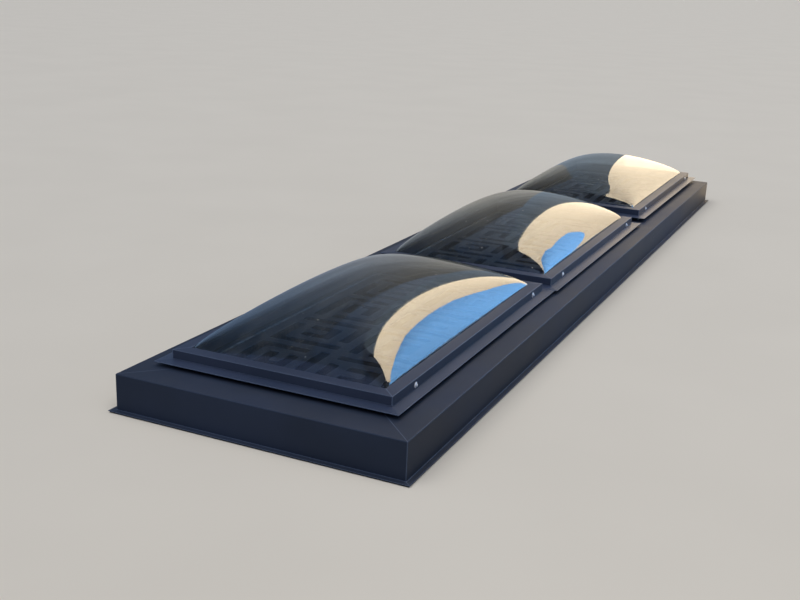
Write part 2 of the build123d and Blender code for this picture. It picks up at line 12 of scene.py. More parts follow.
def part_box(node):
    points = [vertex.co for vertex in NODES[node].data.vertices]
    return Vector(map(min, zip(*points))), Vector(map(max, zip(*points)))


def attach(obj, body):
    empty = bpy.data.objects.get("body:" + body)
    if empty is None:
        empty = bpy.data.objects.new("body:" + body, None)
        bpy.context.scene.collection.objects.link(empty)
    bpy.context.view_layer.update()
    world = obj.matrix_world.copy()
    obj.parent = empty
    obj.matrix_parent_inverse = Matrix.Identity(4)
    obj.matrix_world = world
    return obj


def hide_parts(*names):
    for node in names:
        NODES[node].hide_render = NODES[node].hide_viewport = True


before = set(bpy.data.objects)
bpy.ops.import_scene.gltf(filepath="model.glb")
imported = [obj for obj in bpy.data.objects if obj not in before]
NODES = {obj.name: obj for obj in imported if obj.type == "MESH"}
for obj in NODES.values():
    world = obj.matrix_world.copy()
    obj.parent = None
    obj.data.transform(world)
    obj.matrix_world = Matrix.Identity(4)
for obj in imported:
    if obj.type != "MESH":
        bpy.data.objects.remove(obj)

log = logging.getLogger("skylight")

MM = 0.001
UNITS = (1, 2, 3)


class Side(Enum):
    """The four sides of a dome unit's frame."""

    LEFT = "left"
    RIGHT = "right"
    NEAR = "near"
    FAR = "far"


class Way(Enum):
    """The level way in which a card's colour changes, by its coordinate's number."""

    ACROSS = 0
    ALONG = 1


def linear(hex_colour: str) -> tuple[float, float, float, float]:
    """Turns an sRGB hex colour into linear RGBA.

    Args:
        hex_colour: Six hex digits.

    Returns:
        Linear red, green, blue and an alpha of 1.
    """
    parts = [int(hex_colour[i:i + 2], 16) / 255 for i in (0, 2, 4)]
    turned = [p / 12.92 if p <= 0.04045 else ((p + 0.055) / 1.055) ** 2.4 for p in parts]
    return (turned[0], turned[1], turned[2], 1.0)


def add_node(tree: bpy.types.NodeTree, kind: str, inputs: dict | None = None, **settings) -> bpy.types.Node:
    """Adds one node with its settings, values and links.

    Args:
        tree: The node tree.
        kind: The node's type name.
        inputs: Value for each input, by name or number; a socket is linked, anything else is set.
        settings: Attributes of the node.

    Returns:
        The new node.
    """
    node = tree.nodes.new(kind)
    for name, value in settings.items():
        setattr(node, name, value)
    for key, value in (inputs or {}).items():
        socket = node.inputs[key]
        if isinstance(value, bpy.types.NodeSocket):
            tree.links.new(value, socket)
        else:
            socket.default_value = value
    return node


@dataclass(frozen=True)
class Finish:
    """A surface finish, named for the real one."""

    name: str

    def build(self) -> bpy.types.Material:
        """Builds the material.

        Returns:
            The material.
        """
        material = bpy.data.materials.new(self.name)
        material.use_nodes = True
        tree = material.node_tree
        tree.nodes.clear()
        output = tree.nodes.new("ShaderNodeOutputMaterial")
        place = add_node(tree, "ShaderNodeTexCoord").outputs["Object"]
        tree.links.new(self.surface(tree, place), output.inputs[0])
        return material

    def surface(self, tree: bpy.types.NodeTree, place: bpy.types.NodeSocket) -> bpy.types.NodeSocket:
        """Makes the finish's shader.

        Args:
            tree: The material's node tree.
            place: Object coordinates, in metres.

        Returns:
            The shader's output.
        """
        raise NotImplementedError


@dataclass(frozen=True)
class PowderCoat(Finish):
    """Satin powder coat on sheet or extruded profile: a dull sheen, faint orange peel and dust."""

    colour: str
    worn: str
    # Painted highlight: bends and cut edges are drawn as a paler line, standing in for the gloss along
    # their rounding
    edge_highlight: str = "6E7D96"
    dust: str = "77736C"
    roughness: float = 0.40
    # Real orange peel is 2 mm wide, too fine to show here, so it is drawn 6 mm wide
    peel_mm: float = 6.0
    peel_depth_mm: float = 0.4
    cloud_mm: float = 420.0
    dust_mm: float = 150.0
    dust_share: float = 0.05
    edge_highlight_mm: float = 3.5
    edge_highlight_share: float = 0.85
    # A weathered coat mirrors less than a new one
    gloss: float = 0.2

    def surface(self, tree: bpy.types.NodeTree, place: bpy.types.NodeSocket) -> bpy.types.NodeSocket:
        """Makes the coat: clouded colour, a painted highlight along edges and bends, and dust where the
        face looks up.

        Args:
            tree: The material's node tree.
            place: Object coordinates, in metres.

        Returns:
            The shader's output.
        """
        cloud = add_node(tree, "ShaderNodeTexNoise",
                         {"Vector": place, "Scale": 1 / (self.cloud_mm * MM), "Detail": 3.0}).outputs[0]
        shade = add_node(tree, "ShaderNodeMapRange", {"Value": cloud, 1: 0.35, 2: 0.7},
                         interpolation_type="SMOOTHSTEP").outputs[0]
        coat = add_node(tree, "ShaderNodeMix", {0: shade, 6: linear(self.colour), 7: linear(self.worn)},
                        data_type="RGBA").outputs[2]

        normal = add_node(tree, "ShaderNodeNewGeometry").outputs["Normal"]
        # Painted highlight: where the Bevel node rounds the normal off the face's own, the coat turns paler
        # along edges and bends
        rounded = add_node(tree, "ShaderNodeBevel", {"Radius": self.edge_highlight_mm * MM}, samples=4).outputs[0]
        flatness = add_node(tree, "ShaderNodeVectorMath", {0: rounded, 1: normal},
                            operation="DOT_PRODUCT").outputs["Value"]
        edge_highlight_mask = add_node(tree, "ShaderNodeMapRange", {"Value": flatness, 1: 0.99, 2: 0.92, 3: 0.0,
                                                    4: self.edge_highlight_share}).outputs[0]
        coat = add_node(tree, "ShaderNodeMix", {0: edge_highlight_mask, 6: coat, 7: linear(self.edge_highlight)},
                        data_type="RGBA").outputs[2]

        upward = add_node(tree, "ShaderNodeSeparateXYZ", {0: normal}).outputs[2]
        level = add_node(tree, "ShaderNodeMapRange", {"Value": upward, 1: 0.6, 2: 0.95, 3: 0.0,
                                                      4: self.dust_share}).outputs[0]
        patches = add_node(tree, "ShaderNodeTexNoise",
                           {"Vector": place, "Scale": 1 / (self.dust_mm * MM), "Detail": 7.0}).outputs[0]
        thick = add_node(tree, "ShaderNodeMapRange",
                         {"Value": patches, 1: 0.35, 2: 0.75, 3: 0.3, 4: 1.0}).outputs[0]
        dusty = add_node(tree, "ShaderNodeMath", {0: level, 1: thick}, operation="MULTIPLY").outputs[0]
        coat = add_node(tree, "ShaderNodeMix", {0: dusty, 6: coat, 7: linear(self.dust)},
                        data_type="RGBA").outputs[2]

        peel = add_node(tree, "ShaderNodeTexNoise",
                        {"Vector": place, "Scale": 1 / (self.peel_mm * MM), "Detail": 1.0}).outputs[0]
        bump = add_node(tree, "ShaderNodeBump", {"Height": peel, "Strength": 0.1,
                                                 "Distance": self.peel_depth_mm * MM}).outputs[0]
        rough = add_node(tree, "ShaderNodeMapRange",
                         {"Value": cloud, 1: 0.3, 2: 0.7, 3: self.roughness - 0.04,
                          4: self.roughness + 0.06}).outputs[0]
        return add_node(tree, "ShaderNodeBsdfPrincipled",
                        {"Base Color": coat, "Roughness": rough, "Normal": bump, "IOR": 1.5,
                         "Specular IOR Level": self.gloss}).outputs[0]


@dataclass(frozen=True)
class SmokedAcrylic(Finish):
    """Cast acrylic with a grey smoke tint, blown to a dome: mirror gloss, slight swells and thin dust."""

    tint: str
    dust: str = "B9B7B2"
    # A blown sheet thins unevenly, in swells about two hands wide
    swell_mm: float = 320.0
    swell_depth_mm: float = 0.14
    # Dried drops and grit, up to 8 mm wide, on about a third of the cells
    speck_spacing_mm: float = 60.0
    speck_radius_mm: float = 4.0
    speck_cover: float = 0.8
    bare_share: float = 0.66
    # Rain and wiping draw the dust out along the dome
    smear_mm: float = 40.0
    smear_stretch: float = 0.09
    clean_roughness: float = 0.004
    smeared_roughness: float = 0.025
    veil: float = 0.014

    def surface(self, tree: bpy.types.NodeTree, place: bpy.types.NodeSocket) -> bpy.types.NodeSocket:
        """Makes clear tinted acrylic under a thin veil of dust, which lets lamps through.

        Args:
            tree: The material's node tree.
            place: Object coordinates, in metres.

        Returns:
            The shader's output.
        """
        swell = add_node(tree, "ShaderNodeTexNoise",
                         {"Vector": place, "Scale": 1 / (self.swell_mm * MM), "Detail": 0.0}).outputs[0]
        bump = add_node(tree, "ShaderNodeBump",
                        {"Height": swell, "Strength": 1.0, "Distance": self.swell_depth_mm * MM}).outputs[0]
        drawn_out = add_node(tree, "ShaderNodeMapping",
                             {0: place, "Scale": (1.0, self.smear_stretch, 1.0)}).outputs[0]
        smear = add_node(tree, "ShaderNodeTexNoise",
                         {"Vector": drawn_out, "Scale": 1 / (self.smear_mm * MM), "Detail": 5.0}).outputs[0]
        rough = add_node(tree, "ShaderNodeMapRange",
                         {"Value": smear, 1: 0.5, 2: 0.8, 3: self.clean_roughness,
                          4: self.smeared_roughness}).outputs[0]
        acrylic = add_node(tree, "ShaderNodeBsdfPrincipled", {
            "Base Color": linear(self.tint), "Roughness": rough, "IOR": 1.49,
            "Transmission Weight": 1.0, "Normal": bump,
        }).outputs[0]

        grit = add_node(tree, "ShaderNodeTexVoronoi",
                        {"Vector": place, "Scale": 1 / (self.speck_spacing_mm * MM)})
        reach = self.speck_radius_mm / self.speck_spacing_mm
        near_speck = add_node(tree, "ShaderNodeMapRange",
                              {"Value": grit.outputs["Distance"], 1: reach, 2: reach * 0.6, 3: 0.0,
                               4: self.speck_cover}).outputs[0]
        chosen = add_node(tree, "ShaderNodeSeparateColor", {0: grit.outputs["Color"]}).outputs[0]
        sparse = add_node(tree, "ShaderNodeMapRange",
                          {"Value": chosen, 1: self.bare_share, 2: self.bare_share + 0.02}).outputs[0]
        speck = add_node(tree, "ShaderNodeMath", {0: near_speck, 1: sparse},
                         operation="MULTIPLY").outputs[0]
        film = add_node(tree, "ShaderNodeMapRange",
                        {"Value": smear, 1: 0.4, 2: 0.7, 3: self.veil * 0.2, 4: self.veil * 2.2}).outputs[0]
        dusty = add_node(tree, "ShaderNodeMath", {0: film, 1: speck}, operation="MAXIMUM").outputs[0]
        dust = add_node(tree, "ShaderNodeBsdfDiffuse", {"Color": linear(self.dust)}).outputs[0]
        outside = add_node(tree, "ShaderNodeMixShader", {0: dusty, 1: acrylic, 2: dust}).outputs[0]

        lets_lamps_through = add_node(tree, "ShaderNodeBsdfTransparent",
                                      {"Color": linear(self.tint)}).outputs[0]
        shadow = add_node(tree, "ShaderNodeLightPath").outputs["Is Shadow Ray"]
        return add_node(tree, "ShaderNodeMixShader",
                        {0: shadow, 1: outside, 2: lets_lamps_through}).outputs[0]


@dataclass(frozen=True)
class ZincedSteel(Finish):
    """Steel with a zinc skin, hot-dipped or plated: grey metal with spangle or fine cloud."""

    bright: str
    dull: str
    roughness: float
    # Hot-dip spangle is 8 to 15 mm wide; a plated skin clouds finer
    spangle_mm: float
    # White bloom on plated zinc scatters light instead of mirroring it
    bloom: float = 0.0
    grain_depth_mm: float = 0.2

    def surface(self, tree: bpy.types.NodeTree, place: bpy.types.NodeSocket) -> bpy.types.NodeSocket:
        """Makes the zinc skin.

        Args:
            tree: The material's node tree.
            place: Object coordinates, in metres.

        Returns:
            The shader's output.
        """
        cells = add_node(tree, "ShaderNodeTexVoronoi",
                         {"Vector": place, "Scale": 1 / (self.spangle_mm * MM)})
        facet = add_node(tree, "ShaderNodeSeparateColor", {0: cells.outputs["Color"]}).outputs[0]
        colour = add_node(tree, "ShaderNodeMix", {0: facet, 6: linear(self.bright), 7: linear(self.dull)},
                          data_type="RGBA").outputs[2]
        rough = add_node(tree, "ShaderNodeMapRange",
                         {"Value": facet, 1: 0.0, 2: 1.0, 3: self.roughness - 0.06,
                          4: self.roughness + 0.08}).outputs[0]
        grain = add_node(tree, "ShaderNodeTexNoise",
                         {"Vector": place, "Scale": 3 / (self.spangle_mm * MM), "Detail": 3.0}).outputs[0]
        bump = add_node(tree, "ShaderNodeBump", {"Height": grain, "Strength": 0.15,
                                                 "Distance": self.grain_depth_mm * MM}).outputs[0]
        return add_node(tree, "ShaderNodeBsdfPrincipled",
                        {"Base Color": colour, "Metallic": 1.0 - self.bloom, "Roughness": rough,
                         "Normal": bump}).outputs[0]


@dataclass(frozen=True)
class SealRubber(Finish):
    """Extruded EPDM: matt black, greyed a little by bloom."""

    colour: str = "101113"
    bloom: str = "2A2A2B"
    bloom_mm: float = 22.0
    # The extruder's grain is under 1 mm wide, drawn 3 mm wide to show
    grain_mm: float = 3.0
    grain_depth_mm: float = 0.3

    def surface(self, tree: bpy.types.NodeTree, place: bpy.types.NodeSocket) -> bpy.types.NodeSocket:
        """Makes the rubber.

        Args:
            tree: The material's node tree.
            place: Object coordinates, in metres.

        Returns:
            The shader's output.
        """
        patches = add_node(tree, "ShaderNodeTexNoise",
                           {"Vector": place, "Scale": 1 / (self.bloom_mm * MM), "Detail": 5.0}).outputs[0]
        share = add_node(tree, "ShaderNodeMapRange",
                         {"Value": patches, 1: 0.45, 2: 0.75, 3: 0.0, 4: 0.7}).outputs[0]
        colour = add_node(tree, "ShaderNodeMix", {0: share, 6: linear(self.colour), 7: linear(self.bloom)},
                          data_type="RGBA").outputs[2]
        rough = add_node(tree, "ShaderNodeMapRange",
                         {"Value": patches, 1: 0.3, 2: 0.7, 3: 0.62, 4: 0.8}).outputs[0]
        grain = add_node(tree, "ShaderNodeTexNoise",
                         {"Vector": place, "Scale": 1 / (self.grain_mm * MM)}).outputs[0]
        bump = add_node(tree, "ShaderNodeBump", {"Height": grain, "Strength": 0.2,
                                                 "Distance": self.grain_depth_mm * MM}).outputs[0]
        return add_node(tree, "ShaderNodeBsdfPrincipled",
                        {"Base Color": colour, "Roughness": rough, "Normal": bump, "IOR": 1.52}).outputs[0]


@dataclass(frozen=True)
class Plain(Finish):
    """A plain studio surface with a faint mottle: paper for the floor, and black sheets of painted shade in
    the shafts.
    """

    colour: str
    mottle: str
    roughness: float = 0.8
    mottle_mm: float = 900.0

    def surface(self, tree: bpy.types.NodeTree, place: bpy.types.NodeSocket) -> bpy.types.NodeSocket:
        """Makes the studio surface.

        Args:
            tree: The material's node tree.
            place: Object coordinates, in metres.

        Returns:
            The shader's output.
        """
        patches = add_node(tree, "ShaderNodeTexNoise",
                           {"Vector": place, "Scale": 1 / (self.mottle_mm * MM), "Detail": 3.0}).outputs[0]
        share = add_node(tree, "ShaderNodeMapRange", {"Value": patches, 1: 0.35, 2: 0.65}).outputs[0]
        colour = add_node(tree, "ShaderNodeMix", {0: share, 6: linear(self.colour), 7: linear(self.mottle)},
                          data_type="RGBA").outputs[2]
        return add_node(tree, "ShaderNodeBsdfDiffuse",
                        {"Color": colour, "Roughness": self.roughness}).outputs[0]


@dataclass(frozen=True)
class SoftCard(Finish):
    """A glowing studio card that only gloss and clear acrylic see, its colour changing one way."""

    # The way along the card, where its first colour gives way, and where it is fully the second
    way: Way
    first_end: float
    second_start: float
    first: tuple[float, float, float]
    second: tuple[float, float, float]
    # Brightness at the foot and at the top, and the height of the top in metres
    foot_gain: float = 1.0
    top_gain: float = 1.0
    top: float = 6.0
    # Uneven lighting in soft bands, drawn out level
    band_depth: float = 0.0
    band_mm: float = 260.0
    band_stretch: float = 0.12

    def surface(self, tree: bpy.types.NodeTree, place: bpy.types.NodeSocket) -> bpy.types.NodeSocket:
        """Makes the glow.

        Args:
            tree: The material's node tree.
            place: Object coordinates, in metres.

        Returns:
            The shader's output.
        """
        parts = add_node(tree, "ShaderNodeSeparateXYZ", {0: place}).outputs
        share = add_node(tree, "ShaderNodeMapRange",
                         {"Value": parts[self.way.value], 1: self.first_end,
                          2: self.second_start}).outputs[0]
        colour = add_node(tree, "ShaderNodeMix", {0: share, 6: (*self.first, 1.0), 7: (*self.second, 1.0)},
                          data_type="RGBA").outputs[2]
        gain = add_node(tree, "ShaderNodeMapRange",
                        {"Value": parts[2], 1: 0.0, 2: self.top, 3: self.foot_gain,
                         4: self.top_gain}).outputs[0]
        drawn_out = add_node(tree, "ShaderNodeMapping",
                             {0: place, "Scale": (self.band_stretch, self.band_stretch, 1.0)}).outputs[0]
        bands = add_node(tree, "ShaderNodeTexNoise",
                         {"Vector": drawn_out, "Scale": 1 / (self.band_mm * MM), "Detail": 4.0}).outputs[0]
        uneven = add_node(tree, "ShaderNodeMapRange",
                          {"Value": bands, 1: 0.3, 2: 0.7, 3: 1 - self.band_depth,
                           4: 1 + self.band_depth}).outputs[0]
        strength = add_node(tree, "ShaderNodeMath", {0: gain, 1: uneven}, operation="MULTIPLY").outputs[0]
        return add_node(tree, "ShaderNodeEmission", {0: colour, 1: strength}).outputs[0]


def dress(names: list[str], material: bpy.types.Material) -> None:
    """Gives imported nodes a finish.

    Args:
        names: The nodes.
        material: The finish.
    """
    for name in names:
        slots = NODES[name].data.materials
        slots.clear()
        slots.append(material)
        log.info("dressed %s in %s", name, material.name)


def finished(name: str, form: bmesh.types.BMesh, material: bpy.types.Material,
             stands_for: list[str], crease: float = 35.0) -> bpy.types.Object:
    """Turns a bmesh into a piece that rides on the skylight.

    Args:
        name: The piece's name.
        form: The mesh, which is freed.
        material: Its finish.
        stands_for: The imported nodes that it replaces.
        crease: Angle in degrees above which an edge stays sharp.

    Returns:
        The piece.
    """
    mesh = bpy.data.meshes.new(name)
    for face in form.faces:
        face.smooth = True
    for edge in form.edges:
        edge.smooth = not (len(edge.link_faces) == 2 and edge.calc_face_angle(0.0) > math.radians(crease))
    form.to_mesh(mesh)
    form.free()
    mesh.materials.append(material)
    piece = bpy.data.objects.new(name, mesh)
    bpy.context.scene.collection.objects.link(piece)
    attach(piece, "root")
    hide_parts(*stands_for)
    log.info("built %s: %d faces", name, len(mesh.polygons))
    return piece


@dataclass
class KerbCladding:
    """The kerb's folded cover strips."""

    # The coat's painted highlight along edges and bends is drawn weaker on these strips
    finish: PowderCoat = PowderCoat("powder_coated_folded_sheet", "28303F", "2C3547", roughness=0.55,
                                    gloss=0.1, edge_highlight_share=0.6)
    nodes: list[str] = field(default_factory=lambda: sorted(n for n in NODES if n.startswith("cover_")))

    def dress(self) -> None:
        """Gives the strips their powder coat."""
        dress(self.nodes, self.finish.build())


@dataclass
class RailFrame:
    """Box-tube rails, straps, brackets and their bolts inside the cover, and the foot seals."""

    tube: ZincedSteel = ZincedSteel("hot_dip_galvanised_tube", "8E9196", "6F7378", 0.42, 12.0)
    angle: ZincedSteel = ZincedSteel("hot_dip_galvanised_angle", "989BA0", "7A7E83", 0.38, 9.0)
    plated: ZincedSteel = ZincedSteel("zinc_plated_bolts", "C4C6C9", "A5A8AC", 0.24, 4.0)
    rubber: SealRubber = SealRubber("foot_strip_rubber")

    def dress(self) -> None:
        """Gives each group of nodes its finish."""
        rails = sorted(n for n in NODES if n.startswith(("rail_left", "rail_right", "cross_rail")))
        dress(rails + ["joint_straps"], self.tube.build())
        dress(["anchor_brackets"], self.angle.build())
        dress(["rail_bolts"], self.plated.build())
        dress([f"foot_seal_{side.value}" for side in Side], self.rubber.build())


@dataclass
class UnitFrames:
    """Base frames, clamp bars and seals of the dome units."""

    base: PowderCoat = PowderCoat("powder_coated_drip_profile", "303A4F", "364056", roughness=0.36)
    clamp: PowderCoat = PowderCoat("powder_coated_clamp_profile", "333B4D", "384053", roughness=0.4,
                                   gloss=0.1, dust_share=0.0)
    rubber: SealRubber = SealRubber("frame_strip_rubber")

    def dress(self) -> None:
        """Gives each group of nodes its finish."""
        dress([f"base_frame_{n}" for n in UNITS], self.base.build())
        dress([f"clamp_bar_{side.value}_{n}" for n in UNITS for side in Side], self.clamp.build())
        seals = ("kerb_seal", "dome_seal_lower", "dome_seal_upper")
        dress([f"{seal}_{n}" for seal in seals for n in UNITS], self.rubber.build())


@dataclass
class Screens:
    """Slotted screens, their ledges and screws."""

    plate: PowderCoat = PowderCoat("powder_coated_cut_plate", "373F4F", "3E4757", roughness=0.5,
                                   dust_share=0.06)
    angle: PowderCoat = PowderCoat("powder_coated_ledge_angle", "26292C", "2D3033", roughness=0.5)
    stainless: ZincedSteel = ZincedSteel("stainless_low_head_screws", "B9BABB", "A2A3A5", 0.28, 3.0)

    def dress(self) -> None:
        """Gives each group of nodes its finish."""
        dress([f"screen_{n}" for n in UNITS], self.plate.build())
        dress([f"screen_ledge_{n}" for n in UNITS], self.angle.build())
        dress(["screen_screws"], self.stainless.build())


@dataclass
class Dome:
    """One blown dome with its flat rim, as fine as its reflections need."""

    unit: int
    clear_width: float = 828 * MM
    clear_length: float = 1560 * MM
    thickness: float = 4 * MM
    fullness: float = 1.01
    steps_across: int = 96
    steps_along: int = 160

    def arc(self, t: float) -> float:
        """Height of the blown arc.

        Args:
            t: Place from one edge at -1 to the other at 1.

        Returns:
            The height's share, 0 at the edges and 1 in the middle.
        """
        end = math.sqrt(self.fullness - 1)
        return (math.sqrt(max(self.fullness - t * t, 0)) - end) / (math.sqrt(self.fullness) - end)

    def height(self, u: float, v: float) -> float:
        """Height over the clear opening.

        Args:
            u: Place across, from -1 to 1.
            v: Place along, from -1 to 1.

        Returns:
            The height's share, with corners as full as the walls.
        """
        across = self.arc(u)
        along = self.arc(v)
        if across * along <= 0:
            return 0.0
        return across * along / (across + along - across * along)

    def build(self, material: bpy.types.Material) -> bpy.types.Object:
        """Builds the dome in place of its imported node.

        Args:
            material: The acrylic.

        Returns:
            The piece.
        """
        low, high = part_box(f"dome_{self.unit}")
        middle = (low + high) / 2
        rim_foot = low.z
        rim_top = low.z + self.thickness
        rise = high.z - rim_top
        form = bmesh.new()
        bmesh.ops.create_grid(form, x_segments=self.steps_across, y_segments=self.steps_along, size=1.0)
        for vert in form.verts:
            # The steps crowd towards the edges, where the dome turns fastest
            u = math.sin(math.pi / 2 * vert.co.x)
            v = math.sin(math.pi / 2 * vert.co.y)
            vert.co = Vector((u * self.clear_width / 2, v * self.clear_length / 2,
                              rim_top + rise * self.height(u, v)))
        copy = bmesh.ops.duplicate(form, geom=form.verts[:] + form.edges[:] + form.faces[:])
        inner_verts = [g for g in copy["geom"] if isinstance(g, bmesh.types.BMVert)]
        inner_faces = [g for g in copy["geom"] if isinstance(g, bmesh.types.BMFace)]
        shrink = Vector(((self.clear_width - 2 * self.thickness) / self.clear_width,
                         (self.clear_length - 2 * self.thickness) / self.clear_length, 1.0))
        bmesh.ops.scale(form, verts=inner_verts, vec=shrink)
        bmesh.ops.translate(form, verts=inner_verts, vec=(0, 0, rim_foot - rim_top))
        bmesh.ops.reverse_faces(form, faces=inner_faces)
        inner = set(inner_verts)
        half = (high - low) / 2
        loops = []
        for level, chosen in ((rim_top, False), (rim_foot, True)):
            rim = [e for e in form.edges if e.is_boundary and (e.verts[0] in inner) == chosen]
            grown = bmesh.ops.extrude_edge_only(form, edges=rim)
            new_verts = [g for g in grown["geom"] if isinstance(g, bmesh.types.BMVert)]
            reach = self.thickness if chosen else 0.0
            for vert in new_verts:
                vert.co.x *= half.x / (self.clear_width / 2 - reach)
                vert.co.y *= half.y / (self.clear_length / 2 - reach)
                vert.co.z = level
            loops += [g for g in grown["geom"] if isinstance(g, bmesh.types.BMEdge) and g.is_boundary]
        bmesh.ops.bridge_loops(form, edges=loops)
        bmesh.ops.recalc_face_normals(form, faces=form.faces[:])
        bmesh.ops.translate(form, verts=form.verts[:], vec=(middle.x, middle.y, 0))
        return finished(f"blown_dome_{self.unit}", form, material, [f"dome_{self.unit}"])


@dataclass
class ClampFasteners:
    """Hexagon screws with a pressed collar, on broad dished washers, along the clamp frames' long sides."""

    flats: float = 10 * MM
    head_height: float = 4.5 * MM
    head_edge: float = 0.7 * MM
    collar: float = 6.4 * MM
    collar_height: float = 0.9 * MM
    shank: float = 2.95 * MM
    shank_depth: float = 16 * MM
    bore: float = 3.25 * MM
    washer_radius: float = 12 * MM
    washer_thickness: float = 2 * MM
    washer_edge: float = 0.8 * MM
    near_inset: float = 196 * MM
    far_inset: float = 138 * MM
    above_clamp_foot: float = 13 * MM
    round_steps: int = 40
    bright: ZincedSteel = ZincedSteel("bright_zinc_plated_screws", "F4F5F6", "E2E4E6", 0.35, 3.0, 0.5)
    washer: ZincedSteel = ZincedSteel("bright_zinc_plated_washers", "FCFCFD", "F2F3F5", 0.45, 5.0, 0.8)

    def stations(self) -> list[Matrix]:
        """Places of the screws.

        Returns:
            A matrix for each, on the clamp's outer face with its Z axis outwards.
        """
        places = []
        for unit in UNITS:
            for side, sign in ((Side.LEFT, -1), (Side.RIGHT, 1)):
                low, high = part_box(f"clamp_bar_{side.value}_{unit}")
                face = low.x if side is Side.LEFT else high.x
                for y in (low.y + self.near_inset, high.y - self.far_inset):
                    spot = Matrix.Translation((face, y, low.z + self.above_clamp_foot))
                    places.append(spot @ Matrix.Rotation(sign * math.pi / 2, 4, "Y"))
        return places

    def turned_ring(self, form: bmesh.types.BMesh, outline: list[tuple[float, float]]) -> None:
        """Spins an outline of radius and height about the Z axis.

        Args:
            form: The mesh to add to.
            outline: Radius and height of each point; an end on the axis closes itself.
        """
        verts = [form.verts.new((radius, 0, height)) for radius, height in outline]
        edges = [form.edges.new(pair) for pair in zip(verts, verts[1:])]
        bmesh.ops.spin(form, geom=verts + edges, cent=(0, 0, 0), axis=(0, 0, 1), angle=2 * math.pi,
                       steps=self.round_steps, use_merge=True)
        bmesh.ops.remove_doubles(form, verts=form.verts[:], dist=0.01 * MM)

    def screw(self) -> bmesh.types.BMesh:
        """Builds one screw: shank, collar and bevelled hexagon head, standing on its washer.

        Returns:
            The screw.
        """
        form = bmesh.new()
        seat = self.washer_thickness
        collar_top = seat + self.collar_height
        rise = self.head_height - self.collar_height
        corner = self.flats / 2 / math.cos(math.pi / 6)
        bmesh.ops.create_cone(form, cap_ends=True, segments=6, radius1=corner, radius2=corner, depth=rise)
        bmesh.ops.translate(form, verts=form.verts[:], vec=(0, 0, collar_top + rise / 2))
        head_top = collar_top + rise
        top_edges = [e for e in form.edges if all(v.co.z > head_top - rise / 4 for v in e.verts)]
        bmesh.ops.bevel(form, geom=top_edges, offset=self.head_edge, segments=3, profile=0.5,
                        affect="EDGES", material=-1)
        form.normal_update()
        caps = [f for f in form.faces if f.normal.z > 0.99]
        bmesh.ops.inset_region(form, faces=caps, thickness=self.head_edge, depth=-self.head_edge * 0.6)
        self.turned_ring(form, [
            (0, seat - self.shank_depth), (self.shank, seat - self.shank_depth), (self.shank, seat),
            (self.collar, seat), (self.collar, seat + self.collar_height * 0.6),
            (self.collar - self.collar_height * 0.5, collar_top), (0, collar_top),
        ])
        return form

    def dished_washer(self) -> bmesh.types.BMesh:
        """Builds one washer, dished towards its rim.

        Returns:
            The washer.
        """
        form = bmesh.new()
        rim = self.washer_radius
        self.turned_ring(form, [
            (self.bore, 0), (rim, 0), (rim, self.washer_edge * 0.6),
            (rim - self.washer_edge, self.washer_edge),
            (rim * 0.78, self.washer_thickness * 0.8), (rim * 0.6, self.washer_thickness),
            (self.bore, self.washer_thickness), (self.bore, 0),
        ])
        return form

    def at_stations(self, name: str, single: bmesh.types.BMesh, material: bpy.types.Material,
                    node: str) -> None:
        """Copies one fastener to every station.

        Args:
            name: The piece's name.
            single: One fastener, which is freed.
            material: Its finish.
            node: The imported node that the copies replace.
        """
        bmesh.ops.recalc_face_normals(single, faces=single.faces[:])
        pattern = bpy.data.meshes.new(f"{name}_pattern")
        single.to_mesh(pattern)
        single.free()
        form = bmesh.new()
        for place in self.stations():
            placed = len(form.verts)
            form.from_mesh(pattern)
            bmesh.ops.transform(form, matrix=place, verts=form.verts[placed:])
        bpy.data.meshes.remove(pattern)
        finished(name, form, material, [node])

    def build(self) -> None:
        """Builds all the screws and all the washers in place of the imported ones."""
        self.at_stations("hexagon_clamp_screws", self.screw(), self.bright.build(),
                         "clamp_screws")
        self.at_stations("dished_clamp_washers", self.dished_washer(), self.washer.build(),
                         "clamp_washers")


